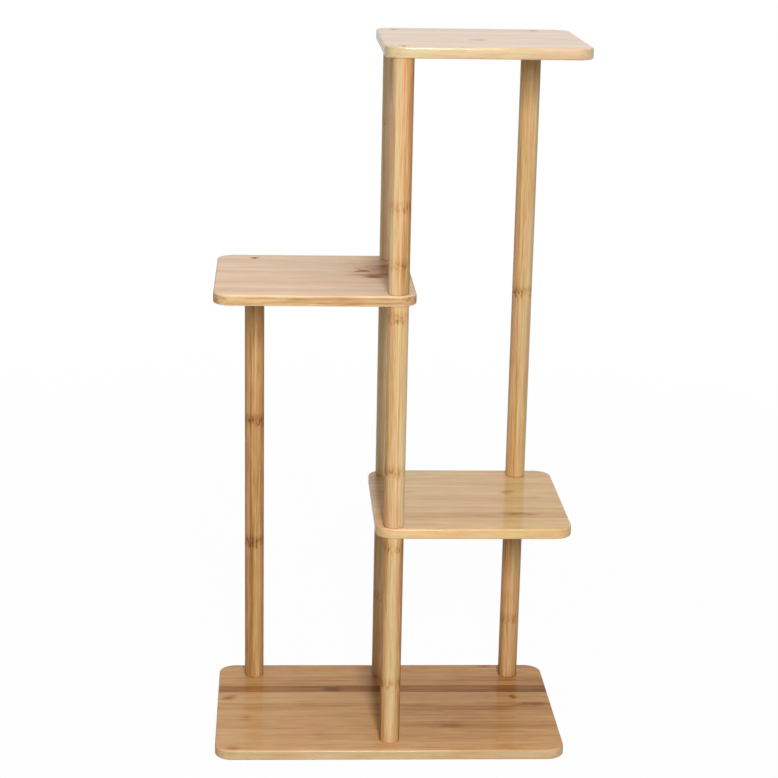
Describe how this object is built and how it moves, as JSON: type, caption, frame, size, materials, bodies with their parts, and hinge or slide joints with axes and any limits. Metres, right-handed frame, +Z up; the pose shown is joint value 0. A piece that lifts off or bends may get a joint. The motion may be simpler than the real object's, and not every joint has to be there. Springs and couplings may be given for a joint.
{
  "type": "tiered plant stand",
  "caption": "Staggered bamboo plant stand: a wide base board and smaller shelves on round posts, bolted through the boards.",
  "frame": {"origin": "middle of the base board's underside, on the floor", "axes": "+Z up; +X to the stand's right as seen from its front; the front, with the single front post, faces -Y"},
  "size_m": [0.4, 0.25, 0.8],
  "materials": {
    "bamboo_board": "laminated bamboo strips along X, satin lacquer",
    "bamboo_post": "turned laminated bamboo, grain upright, satin lacquer",
    "zinc_plated_steel": "bright zinc plating"
  },
  "bodies": {
    "root": {"base_board": "bamboo_board", "lower_shelf": "bamboo_board", "middle_shelf": "bamboo_board", "top_shelf": "bamboo_board", "left_post": "bamboo_post", "centre_front_post_lower": "bamboo_post", "centre_front_post_middle": "bamboo_post", "centre_front_post_upper": "bamboo_post", "centre_rear_post_lower": "bamboo_post", "centre_rear_post_middle": "bamboo_post", "centre_rear_post_upper": "bamboo_post", "right_post_lower": "bamboo_post", "right_post_upper": "bamboo_post", "base_bolts": "zinc_plated_steel", "middle_shelf_bolt": "zinc_plated_steel", "top_shelf_bolts": "zinc_plated_steel", "lower_shelf_studs": "zinc_plated_steel", "middle_shelf_studs": "zinc_plated_steel", "post_foot_inserts": "zinc_plated_steel", "post_head_inserts": "zinc_plated_steel"}
  },
  "joints": []
}
